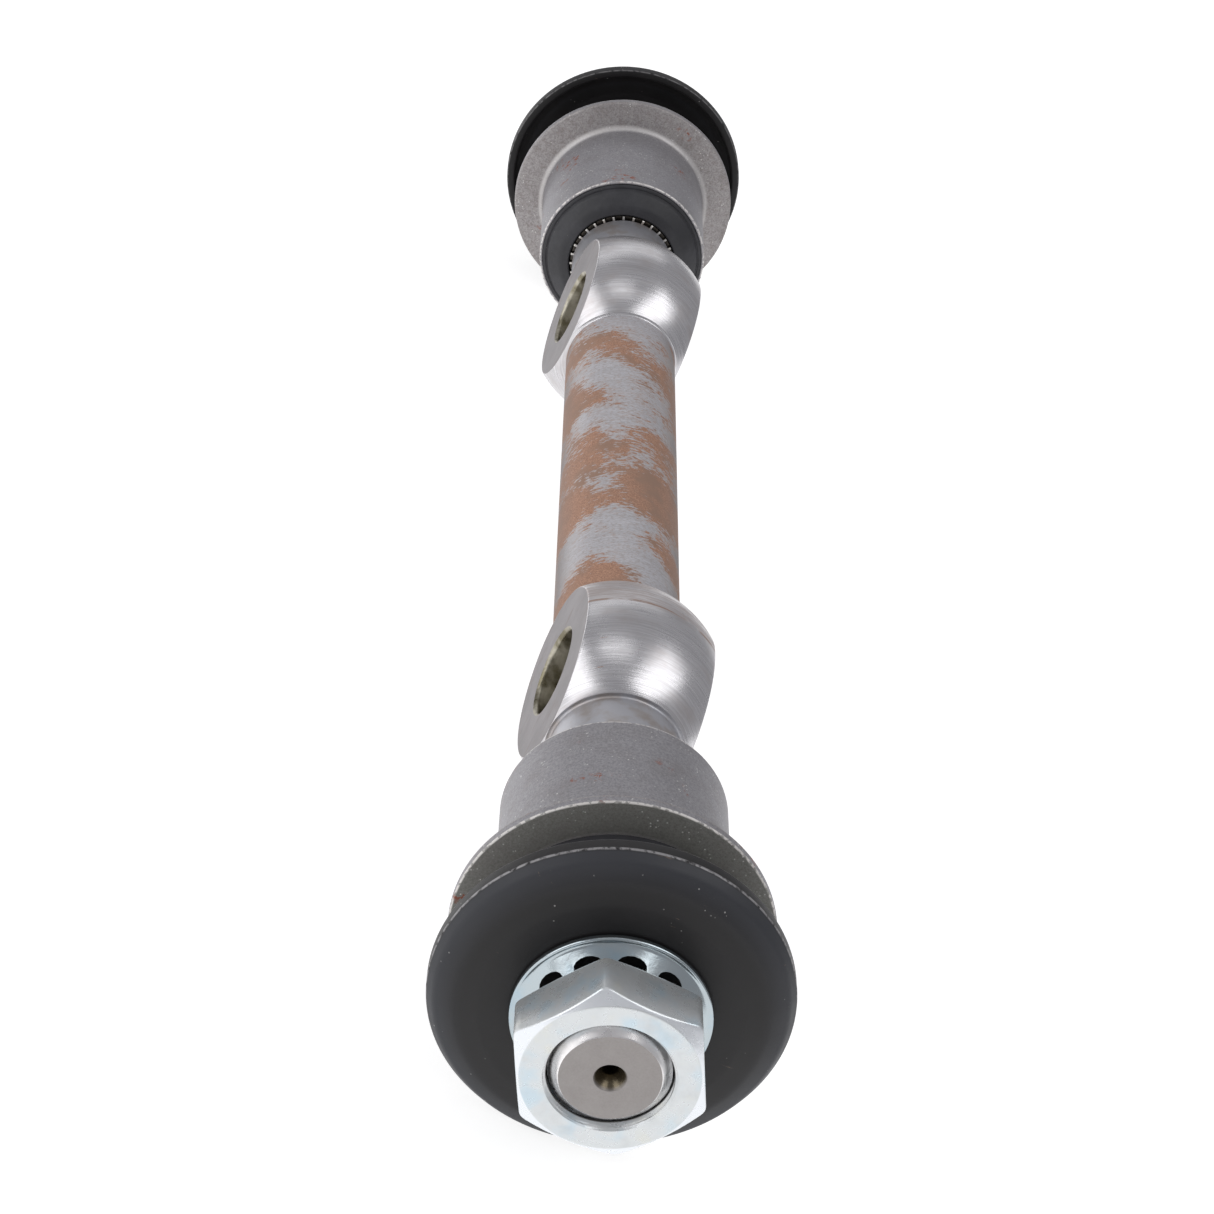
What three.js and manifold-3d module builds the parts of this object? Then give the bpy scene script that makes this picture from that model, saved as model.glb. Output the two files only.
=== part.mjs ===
// Suspension pivot shaft (control arm cross shaft) with a flanged rubber bushing at each end.
// Millimetres. The shaft lies along Y, the bolt-hole flats face +X and -X, and +Z is up.
// Origin: the middle of the shaft, on its axis.

import * as THREE from 'three';
import { mergeVertices } from 'three/addons/utils/BufferGeometryUtils.js';
import Module from 'manifold-3d';

const wasm = await Module();
wasm.setup();

// ---- Driving dimensions ----

const GAP = 0.3;                  // clearance kept between neighbouring pieces

const SHAFT_HALF_LENGTH = 179.6;
const MIDDLE_RADIUS = 11.75;      // plain bar between the two bosses
const BOSS_CENTRE = 75.1;         // crown and bolt hole; the holes are 150.2 apart
const BOSS_START = 57.7;          // the boss's end toward the shaft's middle
const BOSS_END = 93.3;            // and toward the bushing
const BOSS_END_RADIUS = 12.5;
const BOSS_CROWN_RADIUS = 19.8;
const FLAT_OFFSET = 12.3;         // each flat's distance from the axis
const BOLT_HOLE_RADIUS = 7.95;
const BOLT_HOLE_CHAMFER = 0.5;
const JOURNAL_RADIUS = 11.5;      // between a boss and the inner sleeve
const JOURNAL_FILLET = 0.6;
const SHOULDER = 108.3;           // where the inner sleeve stops
const SEAT_RADIUS = 9.4;          // carries the inner sleeve
const THREAD_RADIUS = 9.4;        // 3/4 in thread, drawn at its crests
const RELIEF_RADIUS = 8.6;        // groove where the thread runs out
const RELIEF_START = 158.4;
const THREAD_START = 161.0;
const END_CHAMFER = 1.6;
const SMALL_CHAMFER = 0.4;
const CENTRE_HOLE_RADIUS = 2.45;  // mouth of the lathe centre's cone
const CENTRE_DRILL_RADIUS = 1.2;
const CENTRE_HOLE_CONE = 2.2;
const CENTRE_HOLE_DEPTH = 9.0;

const OUTER_SLEEVE_RADIUS = 19.1;
const OUTER_SLEEVE_BORE = 17.3;
const OUTER_SLEEVE_END = 112.5;
const FLANGE_RADIUS = 26.1;
const FLANGE_INNER_FACE = 143.6;
const FLANGE_THICKNESS = 2.1;
const FLANGE_OUTER_FACE = FLANGE_INNER_FACE + FLANGE_THICKNESS;
const FLANGE_FILLET = 1.5;

const INNER_SLEEVE_RADIUS = 12.1;
const INNER_SLEEVE_BORE = 9.7;
const INNER_SLEEVE_START = 108.6;
const INNER_SLEEVE_END = 162.0;
const INNER_SLEEVE_EDGE = 0.3;
const TOOTH_COUNT = 32;
const TOOTH_DEPTH = 0.8;
const TOOTH_GROOVE_SHARE = 0.72;  // how much of each tooth's pitch the groove takes

const RUBBER_NOSE = 109.0;        // rubber's inner end, round the inner sleeve
const RUBBER_LIP_RADIUS = 18.4;   // thin lip over the outer sleeve's end
const RUBBER_LIP_THICKNESS = 0.5;
const COLLAR_RADIUS = 19.6;       // rubber collar outside the flange
const COLLAR_END = 156.6;
const COLLAR_ROUNDING = 4.6;
const COLLAR_FOOT_ROUNDING = 1.4;

const CUP_RADIUS = 28.575;        // 57.15 across
const CUP_BORE = 9.9;
const CUP_THICKNESS = 2.4;
const CUP_OUTER_FACE = 164.8;
const CUP_FLAT_RADIUS = 21.5;
const CUP_SLOPE_RADIUS = 24.1;    // end of the shallow cone round the flat
const CUP_SLOPE_DROP = 0.75;
const CUP_BEND = 2.2;             // outer radius where the face turns over into the lip
const CUP_BEND_CENTRE = 160.8;
const CUP_LIP_END = 158.6;
const CUP_LIP_THICKNESS = 2.0;

const LOCK_RADIUS = 15.65;
const LOCK_BORE = 9.9;
const LOCK_THICKNESS = 1.2;
const LOCK_FOOT = 165.1;          // rim of the dished lock washer
const LOCK_RISE = 3.8;            // how far its teeth stand out from the rim
const LOCK_EDGE = 0.3;
const LOCK_RIM_WIDTH = 1.0;
const LOCK_TOOTH_LAND = 1.2;      // flat inner end of each tooth, under the nut
const LOCK_SLOT_REACH = 13.4;     // slots between teeth run out to this radius
const LOCK_TOOTH_COUNT = 12;
const LOCK_TURN = THREE.MathUtils.degToRad(10);  // one slot's angle from +Z toward -X
const LOCK_SLOT_ANGLE = THREE.MathUtils.degToRad(19);

const NUT_ACROSS_FLATS = 28.0;
const NUT_BACK = 170.4;
const NUT_FRONT = 179.8;
const NUT_BORE = 9.7;
const NUT_BORE_CHAMFER = 0.55;
const NUT_FACE_RADIUS = 13.6;
const NUT_CHAMFER_SLOPE = 0.55;   // axial drop for each millimetre outward
const NUT_TURN = THREE.MathUtils.degToRad(27);  // one corner's angle from +Z toward -X

const ROUND = 36;                 // facets round most turned pieces
const CUP_ROUND = 40;
const SLEEVE_ROUND = 32;

// ---- Geometry helpers ----

// Turned solid about Y from a closed profile of [radius, y] points.
// Half a facet of turn puts a flat facet, not an edge, at the bottom.
function turned(profile, facets = ROUND) {
  const area = profile.reduce((sum, [r, y], i) => {
    const [nextR, nextY] = profile[(i + 1) % profile.length];
    return sum + r * nextY - nextR * y;
  }, 0);
  const points = (area > 0 ? profile : [...profile].reverse())
    .map(([r, y]) => new THREE.Vector2(r, y));
  const startsOnAxis = points[0].x === 0 && points[points.length - 1].x === 0;
  if (!startsOnAxis) {
    points.push(points[0].clone());
  }
  const geometry = new THREE.LatheGeometry(points, facets);
  geometry.rotateY(Math.PI / facets);
  return toSolid(geometry);
}

function toSolid(geometry) {
  const bare = geometry.clone();
  bare.deleteAttribute('normal');
  bare.deleteAttribute('uv');
  const merged = mergeVertices(bare, 1e-5);
  return new wasm.Manifold(new wasm.Mesh({
    numProp: 3,
    vertProperties: new Float32Array(merged.attributes.position.array),
    triVerts: new Uint32Array(merged.index.array),
  }));
}

function toGeometry(solid) {
  const mesh = solid.getMesh();
  const geometry = new THREE.BufferGeometry();
  const positions = new Float32Array((mesh.vertProperties.length / mesh.numProp) * 3);
  for (let i = 0; i < positions.length / 3; i += 1) {
    for (let k = 0; k < 3; k += 1) {
      positions[i * 3 + k] = mesh.vertProperties[i * mesh.numProp + k];
    }
  }
  geometry.setAttribute('position', new THREE.BufferAttribute(positions, 3));
  geometry.setIndex(new THREE.BufferAttribute(new Uint32Array(mesh.triVerts), 1));
  const faceted = geometry.toNonIndexed();
  faceted.computeVertexNormals();
  return faceted;
}

// Points on a circular arc in the [radius, y] plane, both ends included.
function arc(centreR, centreY, radius, fromDegrees, toDegrees, steps) {
  const points = [];
  for (let i = 0; i <= steps; i += 1) {
    const angle = THREE.MathUtils.degToRad(fromDegrees + ((toDegrees - fromDegrees) * i) / steps);
    points.push([centreR + radius * Math.cos(angle), centreY + radius * Math.sin(angle)]);
  }
  return points;
}

function block(width, depth, height, x, y, z) {
  const geometry = new THREE.BoxGeometry(width, depth, height);
  geometry.translate(x, y, z);
  return toSolid(geometry);
}

// The same profile mirrored to the other end of the shaft.
function atEnd(profile, side) {
  return profile.map(([r, y]) => [r, y * side]);
}

// ---- Shaft ----

// Barrel-shaped boss: radius at y. An arc runs down from the crown to each end.
function bossRadius(y) {
  const length = y < BOSS_CENTRE ? BOSS_CENTRE - BOSS_START : BOSS_END - BOSS_CENTRE;
  const sagitta = BOSS_CROWN_RADIUS - BOSS_END_RADIUS;
  const barrel = (length ** 2 + sagitta ** 2) / (2 * sagitta);
  return BOSS_CROWN_RADIUS - barrel + Math.sqrt(barrel ** 2 - (y - BOSS_CENTRE) ** 2);
}

// Profile from the middle of the shaft out to one centre-drilled end.
function halfShaftProfile() {
  const arcSteps = 4;
  const profile = [
    [MIDDLE_RADIUS, 0],
    [MIDDLE_RADIUS, BOSS_START - SMALL_CHAMFER],
  ];
  for (let i = 0; i < arcSteps; i += 1) {
    const y = BOSS_START + ((BOSS_CENTRE - BOSS_START) * i) / arcSteps;
    profile.push([bossRadius(y), y]);
  }
  for (let i = 0; i <= arcSteps; i += 1) {
    const y = BOSS_CENTRE + ((BOSS_END - BOSS_CENTRE) * i) / arcSteps;
    profile.push([bossRadius(y), y]);
  }
  profile.push(
    ...arc(JOURNAL_RADIUS + JOURNAL_FILLET, BOSS_END + JOURNAL_FILLET, JOURNAL_FILLET, 260, 180, 2),
    [JOURNAL_RADIUS, SHOULDER - SMALL_CHAMFER],
    [JOURNAL_RADIUS - SMALL_CHAMFER, SHOULDER],
    [SEAT_RADIUS, SHOULDER],
    [SEAT_RADIUS, RELIEF_START],
    [RELIEF_RADIUS, RELIEF_START + SEAT_RADIUS - RELIEF_RADIUS],
    [RELIEF_RADIUS, THREAD_START - THREAD_RADIUS + RELIEF_RADIUS],
    [THREAD_RADIUS, THREAD_START],
    [THREAD_RADIUS, SHAFT_HALF_LENGTH - END_CHAMFER],
    [THREAD_RADIUS - END_CHAMFER, SHAFT_HALF_LENGTH],
    [CENTRE_HOLE_RADIUS, SHAFT_HALF_LENGTH],
    [CENTRE_DRILL_RADIUS, SHAFT_HALF_LENGTH - CENTRE_HOLE_CONE],
    [CENTRE_DRILL_RADIUS, SHAFT_HALF_LENGTH - CENTRE_HOLE_DEPTH],
    [0, SHAFT_HALF_LENGTH - CENTRE_HOLE_DEPTH - CENTRE_DRILL_RADIUS / 2],
  );
  return profile;
}

// A through hole along X at one boss, with a small chamfer at each flat.
function boltHole(y) {
  const edge = FLAT_OFFSET - BOLT_HOLE_CHAMFER;
  const past = 2;
  const end = FLAT_OFFSET + past;
  const wide = BOLT_HOLE_RADIUS + BOLT_HOLE_CHAMFER + past;
  const cutter = new THREE.LatheGeometry([
    new THREE.Vector2(0, -end),
    new THREE.Vector2(wide, -end),
    new THREE.Vector2(BOLT_HOLE_RADIUS, -edge),
    new THREE.Vector2(BOLT_HOLE_RADIUS, edge),
    new THREE.Vector2(wide, end),
    new THREE.Vector2(0, end),
  ], SLEEVE_ROUND);
  cutter.rotateZ(Math.PI / 2);
  cutter.translate(0, y, 0);
  return toSolid(cutter);
}

function makeShaft() {
  const half = halfShaftProfile();
  const otherHalf = atEnd(half.slice(1), -1).reverse();
  const cutDepth = 20;
  const cutLength = 2 * (BOSS_END - BOSS_CENTRE) + 4;
  const cutHeight = 3 * BOSS_CROWN_RADIUS;
  let shaft = turned([...otherHalf, ...half]);
  for (const side of [-1, 1]) {
    const y = side * BOSS_CENTRE;
    for (const face of [-1, 1]) {
      const x = face * (FLAT_OFFSET + cutDepth / 2);
      shaft = shaft.subtract(block(cutDepth, cutLength, cutHeight, x, y, 0));
    }
    shaft = shaft.subtract(boltHole(y));
  }
  return shaft;
}

// ---- Bushing: outer sleeve, rubber, inner sleeve ----

function makeOuterSleeve(side) {
  const rim = 0.4;
  const endChamfer = 0.6;
  const profile = [
    [OUTER_SLEEVE_BORE + rim, OUTER_SLEEVE_END],
    [OUTER_SLEEVE_RADIUS - endChamfer, OUTER_SLEEVE_END],
    [OUTER_SLEEVE_RADIUS, OUTER_SLEEVE_END + endChamfer],
    ...arc(OUTER_SLEEVE_RADIUS + FLANGE_FILLET, FLANGE_INNER_FACE - FLANGE_FILLET,
      FLANGE_FILLET, 180, 90, 2),
    [FLANGE_RADIUS - rim, FLANGE_INNER_FACE],
    [FLANGE_RADIUS, FLANGE_INNER_FACE + rim],
    [FLANGE_RADIUS, FLANGE_OUTER_FACE - rim],
    [FLANGE_RADIUS - rim, FLANGE_OUTER_FACE],
    ...arc(OUTER_SLEEVE_BORE + FLANGE_THICKNESS, FLANGE_INNER_FACE, FLANGE_THICKNESS, 90, 180, 2),
    [OUTER_SLEEVE_BORE, OUTER_SLEEVE_END + rim],
  ];
  return turned(atEnd(profile, side));
}

function makeRubber(side) {
  const outer = OUTER_SLEEVE_BORE - GAP;
  const inner = INNER_SLEEVE_RADIUS + GAP;
  const bend = FLANGE_THICKNESS + GAP;
  const edge = 0.5;
  const shoulder = FLANGE_OUTER_FACE + GAP;
  const lip = OUTER_SLEEVE_END - GAP;
  const profile = [
    [inner, RUBBER_NOSE + edge],
    [inner + edge, RUBBER_NOSE],
    [inner + 5 * edge, RUBBER_NOSE + edge],
    [outer, lip - RUBBER_LIP_THICKNESS],
    [RUBBER_LIP_RADIUS, lip - RUBBER_LIP_THICKNESS],
    [RUBBER_LIP_RADIUS, lip],
    [outer + edge, lip],
    [outer, lip + edge],
    ...arc(outer + bend, shoulder - bend, bend, 180, 90, 2),
    ...arc(COLLAR_RADIUS, shoulder + COLLAR_FOOT_ROUNDING, COLLAR_FOOT_ROUNDING, -60, 0, 2),
    ...arc(COLLAR_RADIUS + COLLAR_FOOT_ROUNDING - COLLAR_ROUNDING, COLLAR_END - COLLAR_ROUNDING,
      COLLAR_ROUNDING, 10, 90, 3),
    [inner + edge, COLLAR_END],
    [inner, COLLAR_END - edge],
  ];
  return turned(atEnd(profile, side));
}

// Radial V-grooves cut into an end face leave a ring of teeth.
function cutTeeth(sleeve, y) {
  let result = sleeve;
  const past = 1;
  const pitch = (2 * Math.PI) / TOOTH_COUNT;
  const outerEnd = INNER_SLEEVE_RADIUS + past;
  const innerEnd = INNER_SLEEVE_BORE - past;
  const halfWidth = (TOOTH_GROOVE_SHARE / 2) * pitch * outerEnd;
  const groove = new THREE.Shape([
    new THREE.Vector2(-halfWidth, 0),
    new THREE.Vector2(0, -TOOTH_DEPTH),
    new THREE.Vector2(halfWidth, 0),
    new THREE.Vector2(0, TOOTH_DEPTH),
  ]);
  for (let i = 0; i < TOOTH_COUNT; i += 1) {
    const cutter = new THREE.ExtrudeGeometry(groove, {
      depth: outerEnd - innerEnd,
      bevelEnabled: false,
    });
    cutter.translate(0, y, innerEnd);
    cutter.rotateY((i + 0.5) * pitch);
    result = result.subtract(toSolid(cutter));
  }
  return result;
}

function makeInnerSleeve(side) {
  const profile = [
    [INNER_SLEEVE_BORE, INNER_SLEEVE_START],
    [INNER_SLEEVE_RADIUS - INNER_SLEEVE_EDGE, INNER_SLEEVE_START],
    [INNER_SLEEVE_RADIUS, INNER_SLEEVE_START + INNER_SLEEVE_EDGE],
    [INNER_SLEEVE_RADIUS, INNER_SLEEVE_END - INNER_SLEEVE_EDGE],
    [INNER_SLEEVE_RADIUS - INNER_SLEEVE_EDGE, INNER_SLEEVE_END],
    [INNER_SLEEVE_BORE, INNER_SLEEVE_END],
  ];
  const sleeve = turned(atEnd(profile, side), SLEEVE_ROUND);
  return cutTeeth(cutTeeth(sleeve, side * INNER_SLEEVE_START), side * INNER_SLEEVE_END);
}

// ---- Cup washer, lock washer, nut ----

// Dished washer whose lip turns toward the bushing.
function makeCupWasher(side) {
  const innerFace = CUP_OUTER_FACE - CUP_THICKNESS;
  const lipBore = CUP_RADIUS - CUP_LIP_THICKNESS;
  const edge = 0.4;
  const profile = [
    [CUP_BORE, innerFace],
    [CUP_FLAT_RADIUS - edge, innerFace],
    [CUP_SLOPE_RADIUS - edge, innerFace - CUP_SLOPE_DROP],
    [lipBore - edge, innerFace - 3 * CUP_SLOPE_DROP],
    [lipBore, CUP_LIP_END + edge / 2],
    [lipBore + edge, CUP_LIP_END],
    [CUP_RADIUS - edge, CUP_LIP_END],
    [CUP_RADIUS, CUP_LIP_END + edge],
    ...arc(CUP_RADIUS - CUP_BEND, CUP_BEND_CENTRE, CUP_BEND, 0, 66, 3),
    [CUP_SLOPE_RADIUS, CUP_OUTER_FACE - CUP_SLOPE_DROP],
    [CUP_FLAT_RADIUS, CUP_OUTER_FACE],
    [CUP_BORE + edge, CUP_OUTER_FACE],
    [CUP_BORE, CUP_OUTER_FACE - edge],
  ];
  return turned(atEnd(profile, side), CUP_ROUND);
}

// Outline of one slot between the lock washer's teeth, from inside the bore outward.
function lockSlotShape() {
  const innerEnd = LOCK_BORE - 2;
  const roundingStart = LOCK_SLOT_REACH - 0.6;
  const spread = Math.tan(LOCK_SLOT_ANGLE / 2);
  const halfArc = LOCK_SLOT_ANGLE / 2 - 0.05;
  const slot = new THREE.Shape();
  slot.moveTo(-innerEnd * spread, innerEnd);
  slot.lineTo(innerEnd * spread, innerEnd);
  slot.lineTo(roundingStart * spread, roundingStart);
  slot.absarc(0, 0, LOCK_SLOT_REACH, Math.PI / 2 - halfArc, Math.PI / 2 + halfArc, false);
  slot.lineTo(-roundingStart * spread, roundingStart);
  slot.closePath();
  return slot;
}

// Dished internal-tooth washer: a smooth rim with teeth that lean outward to the nut.
function makeLockWasher(side) {
  const rimInner = LOCK_RADIUS - LOCK_RIM_WIDTH;
  const toothBack = LOCK_FOOT + LOCK_RISE;
  const profile = [
    [rimInner, LOCK_FOOT],
    [LOCK_RADIUS - LOCK_EDGE, LOCK_FOOT],
    [LOCK_RADIUS, LOCK_FOOT + LOCK_EDGE],
    [LOCK_RADIUS, LOCK_FOOT + LOCK_THICKNESS - LOCK_EDGE],
    [LOCK_RADIUS - LOCK_EDGE, LOCK_FOOT + LOCK_THICKNESS],
    [rimInner, LOCK_FOOT + LOCK_THICKNESS],
    [LOCK_BORE + LOCK_TOOTH_LAND, toothBack + LOCK_THICKNESS],
    [LOCK_BORE, toothBack + LOCK_THICKNESS],
    [LOCK_BORE, toothBack],
    [LOCK_BORE + LOCK_TOOTH_LAND, toothBack],
  ];
  let washer = turned(atEnd(profile, side), SLEEVE_ROUND);
  const slot = lockSlotShape();
  const depth = 12;
  for (let i = 0; i < LOCK_TOOTH_COUNT; i += 1) {
    const cutter = new THREE.ExtrudeGeometry(slot, { depth, bevelEnabled: false, curveSegments: 2 });
    cutter.rotateX(Math.PI / 2);
    cutter.translate(0, side * (LOCK_FOOT + LOCK_RISE / 2) + depth / 2, 0);
    cutter.rotateY((i * 2 * Math.PI) / LOCK_TOOTH_COUNT - LOCK_TURN);
    washer = washer.subtract(toSolid(cutter));
  }
  return washer;
}

// Hexagonal nut with both faces turned down to round at the corners.
function makeNut(side) {
  const cornerRadius = NUT_ACROSS_FLATS / Math.sqrt(3);
  const hexagon = new THREE.Shape();
  for (let i = 0; i < 6; i += 1) {
    const angle = (i * Math.PI) / 3 + Math.PI / 2;
    const x = cornerRadius * Math.cos(angle);
    const z = cornerRadius * Math.sin(angle);
    if (i === 0) {
      hexagon.moveTo(x, z);
    } else {
      hexagon.lineTo(x, z);
    }
  }
  const height = NUT_FRONT - NUT_BACK;
  const prism = new THREE.ExtrudeGeometry(hexagon, { depth: height, bevelEnabled: false });
  prism.translate(0, 0, -height / 2);
  prism.rotateX(Math.PI / 2);
  prism.rotateY(-NUT_TURN);
  prism.translate(0, side * (NUT_FRONT + NUT_BACK) / 2, 0);
  const past = 1;
  const reach = cornerRadius + past;
  const drop = (reach - NUT_FACE_RADIUS) * NUT_CHAMFER_SLOPE;
  const envelope = turned(atEnd([
    [0, NUT_BACK],
    [NUT_FACE_RADIUS, NUT_BACK],
    [reach, NUT_BACK + drop],
    [reach, NUT_FRONT - drop],
    [NUT_FACE_RADIUS, NUT_FRONT],
    [0, NUT_FRONT],
  ], side), SLEEVE_ROUND);
  const mouth = NUT_BORE + NUT_BORE_CHAMFER;
  const bore = turned(atEnd([
    [0, NUT_BACK - past],
    [mouth, NUT_BACK - past],
    [mouth, NUT_BACK],
    [NUT_BORE, NUT_BACK + NUT_BORE_CHAMFER],
    [NUT_BORE, NUT_FRONT - NUT_BORE_CHAMFER],
    [mouth, NUT_FRONT],
    [mouth, NUT_FRONT + past],
    [0, NUT_FRONT + past],
  ], side), ROUND);
  return toSolid(prism).intersect(envelope).subtract(bore);
}

// ---- Assembly ----

const FINISHES = {
  shaft: { color: 0xa39c9a, roughness: 0.42, metalness: 1.0 },
  outerSleeve: { color: 0x88868a, roughness: 0.55, metalness: 0.9 },
  rubber: { color: 0x2b2c31, roughness: 0.6, metalness: 0.0 },
  innerSleeve: { color: 0x8c877c, roughness: 0.45, metalness: 1.0 },
  cupWasher: { color: 0x232227, roughness: 0.42, metalness: 0.3 },
  zinc: { color: 0xc3cccd, roughness: 0.24, metalness: 1.0 },
};

const group = new THREE.Group();
group.name = 'pivot_shaft';

function addPiece(name, solid, finish) {
  const material = new THREE.MeshStandardMaterial(FINISHES[finish]);
  material.name = `${name}_finish`;
  const mesh = new THREE.Mesh(toGeometry(solid), material);
  mesh.name = name;
  group.add(mesh);
}

addPiece('shaft', makeShaft(), 'shaft');
for (const [end, side] of [['front', -1], ['rear', 1]]) {
  addPiece(`${end}_outer_sleeve`, makeOuterSleeve(side), 'outerSleeve');
  addPiece(`${end}_rubber_bushing`, makeRubber(side), 'rubber');
  addPiece(`${end}_inner_sleeve`, makeInnerSleeve(side), 'innerSleeve');
  addPiece(`${end}_cup_washer`, makeCupWasher(side), 'cupWasher');
  addPiece(`${end}_lock_washer`, makeLockWasher(side), 'zinc');
  addPiece(`${end}_hex_nut`, makeNut(side), 'zinc');
}

export default group;
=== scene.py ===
import math

import bmesh
import bpy
from mathutils import Matrix, Vector


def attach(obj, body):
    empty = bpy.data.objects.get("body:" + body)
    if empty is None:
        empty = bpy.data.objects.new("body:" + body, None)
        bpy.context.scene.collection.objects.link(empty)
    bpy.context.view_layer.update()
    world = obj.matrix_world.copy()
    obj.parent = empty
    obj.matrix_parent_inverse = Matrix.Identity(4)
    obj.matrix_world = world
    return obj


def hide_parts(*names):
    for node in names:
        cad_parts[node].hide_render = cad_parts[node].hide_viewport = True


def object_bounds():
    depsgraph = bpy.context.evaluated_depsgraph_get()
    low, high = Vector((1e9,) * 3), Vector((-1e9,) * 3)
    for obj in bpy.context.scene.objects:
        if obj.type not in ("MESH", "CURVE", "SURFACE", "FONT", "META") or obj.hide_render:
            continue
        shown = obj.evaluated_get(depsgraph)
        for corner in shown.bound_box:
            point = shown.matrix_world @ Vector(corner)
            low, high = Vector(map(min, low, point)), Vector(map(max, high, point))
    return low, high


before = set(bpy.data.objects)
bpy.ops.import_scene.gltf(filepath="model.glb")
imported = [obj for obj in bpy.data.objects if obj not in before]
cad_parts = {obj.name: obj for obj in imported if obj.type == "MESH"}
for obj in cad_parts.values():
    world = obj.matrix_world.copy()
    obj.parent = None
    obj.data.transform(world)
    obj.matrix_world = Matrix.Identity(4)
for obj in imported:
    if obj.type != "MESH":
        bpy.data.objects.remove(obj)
size_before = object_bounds()

# Shapes are in millimetres until they become a mesh. The shaft lies along y, its middle at 0.
# Finishes read places in metres, so a size used in one goes through MM, past() or before().
MM = 0.001
AROUND = 192          # points round most turned pieces
LEAN = 0.42           # radians that the studio is turned about the shaft, so the pads lie tilted

# The shaft's own sizes. Places along it are distances from its middle.
MIDDLE_RADIUS = 11.75
BOSS_CENTRE = 75.1
BOSS_START = 57.7
BOSS_END = 93.3
BOSS_END_RADIUS = 12.5
BOSS_CROWN_RADIUS = 19.8
FLAT_OFFSET = 12.3
BOLT_HOLE_RADIUS = 7.95
JOURNAL_RADIUS = 11.5
SHOULDER = 108.3
SEAT_RADIUS = 9.4
THREAD_RADIUS = 9.4
THREAD_ROOT = 8.55
THREAD_PITCH = 1.5875
THREAD_START = 160.5
SHAFT_END = 179.6
END_CHAMFER = 1.5
END_FACE_RADIUS = 7.8
CENTRE_HOLE_MOUTH = 2.55
CENTRE_HOLE_RADIUS = 1.2

# Sizes of the bushings, washers and nuts that their finishes need too.
SLEEVE_BORE = 17.3
SLEEVE_RADIUS = 19.1
SLEEVE_START = 112.5
FLANGE_RADIUS = 26.05
FLANGE_BACK = 143.6
FLANGE_FRONT = 145.7
SPACER_START = 108.6
SPACER_END = 162.0
CUP_RADIUS = 28.46
CUP_LIP_END = 158.6
CUP_BEND = 161.1          # where the cup's face turns over into its lip
NUT_ACROSS_FLATS = 28.0
NUT_BACK = 170.4
NUT_FRONT = 179.8
NUT_FACE_RADIUS = 13.4
NUT_CHAMFER_RADIUS = NUT_FACE_RADIUS + 0.2
NUT_CHAMFER_DEPTH = 0.12  # how far below the nut's face its chamfer starts
NUT_CHAMFER_SLOPE = 0.55  # drop for each millimetre outward
NUT_BORE = 9.55
NUT_MOUTH = 10.1

# Material zones of the shaft.
BAR, BOSS, FLAT, HOLE, JOURNAL, END, THREAD = range(7)


# ---- Mesh helpers ----

def rounded(corners, steps=5):
    """Closed outline whose corners (radius, y, rounding) become short arcs."""
    points = []
    for i, (r, y, rounding) in enumerate(corners):
        here = Vector((r, y))
        back = Vector(corners[i - 1][:2]) - here
        ahead = Vector(corners[(i + 1) % len(corners)][:2]) - here
        opening = back.angle(ahead)
        if rounding == 0 or opening > math.radians(179):
            points.append((r, y))
            continue
        cut = rounding / math.tan(opening / 2)
        cut = min(cut, 0.49 * back.length, 0.49 * ahead.length)
        radius = cut * math.tan(opening / 2)
        middle = (back.normalized() + ahead.normalized()).normalized()
        centre = here + middle * (radius / math.sin(opening / 2))
        first = here + back.normalized() * cut - centre
        last = here + ahead.normalized() * cut - centre
        turn = first.angle_signed(last)
        for k in range(steps + 1):
            angle = -turn * k / steps
            arm = Matrix.Rotation(angle, 2) @ first
            points.append(tuple(centre + arm))
    return points


def circle(radius, y, count=AROUND):
    """Points of one ring round the shaft's axis."""
    angles = [2 * math.pi * k / count for k in range(count)]
    return [(radius * math.cos(a), y, radius * math.sin(a)) for a in angles]


def build(name, rings, materials, loop=True, zones=None, sharp=32):
    """One piece from rings of points. A loop joins the last ring to the first."""
    count = len(rings[0])
    points = [tuple(c * MM for c in p) for ring in rings for p in ring]
    faces = []
    marks = []
    steps = len(rings) if loop else len(rings) - 1
    for i in range(steps):
        a = i * count
        b = ((i + 1) % len(rings)) * count
        for k in range(count):
            j = (k + 1) % count
            faces.append((a + k, a + j, b + j, b + k))
            marks.append(zones(i, k) if zones else 0)
    if not loop:
        faces.append(tuple(range(count)))
        faces.append(tuple(range((len(rings) - 1) * count, len(rings) * count)))
        marks += [END, END] if zones else [0, 0]
    mesh = bpy.data.meshes.new(name)
    mesh.from_pydata(points, [], faces)
    for material in materials:
        mesh.materials.append(material)
    mesh.polygons.foreach_set("material_index", marks)
    tidy = bmesh.new()
    tidy.from_mesh(mesh)
    bmesh.ops.recalc_face_normals(tidy, faces=tidy.faces)
    tidy.to_mesh(mesh)
    tidy.free()
    mesh.shade_smooth()
    mesh.set_sharp_from_angle(angle=math.radians(sharp))
    piece = bpy.data.objects.new(name, mesh)
    bpy.context.scene.collection.objects.link(piece)
    return piece


def turned(name, corners, side, materials, count=AROUND):
    """A ring-shaped piece turned from a rounded outline, at one end of the shaft."""
    outline = rounded(corners)
    rings = [circle(r, y * side, count) for r, y in outline]
    return build(name, rings, materials)


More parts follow.
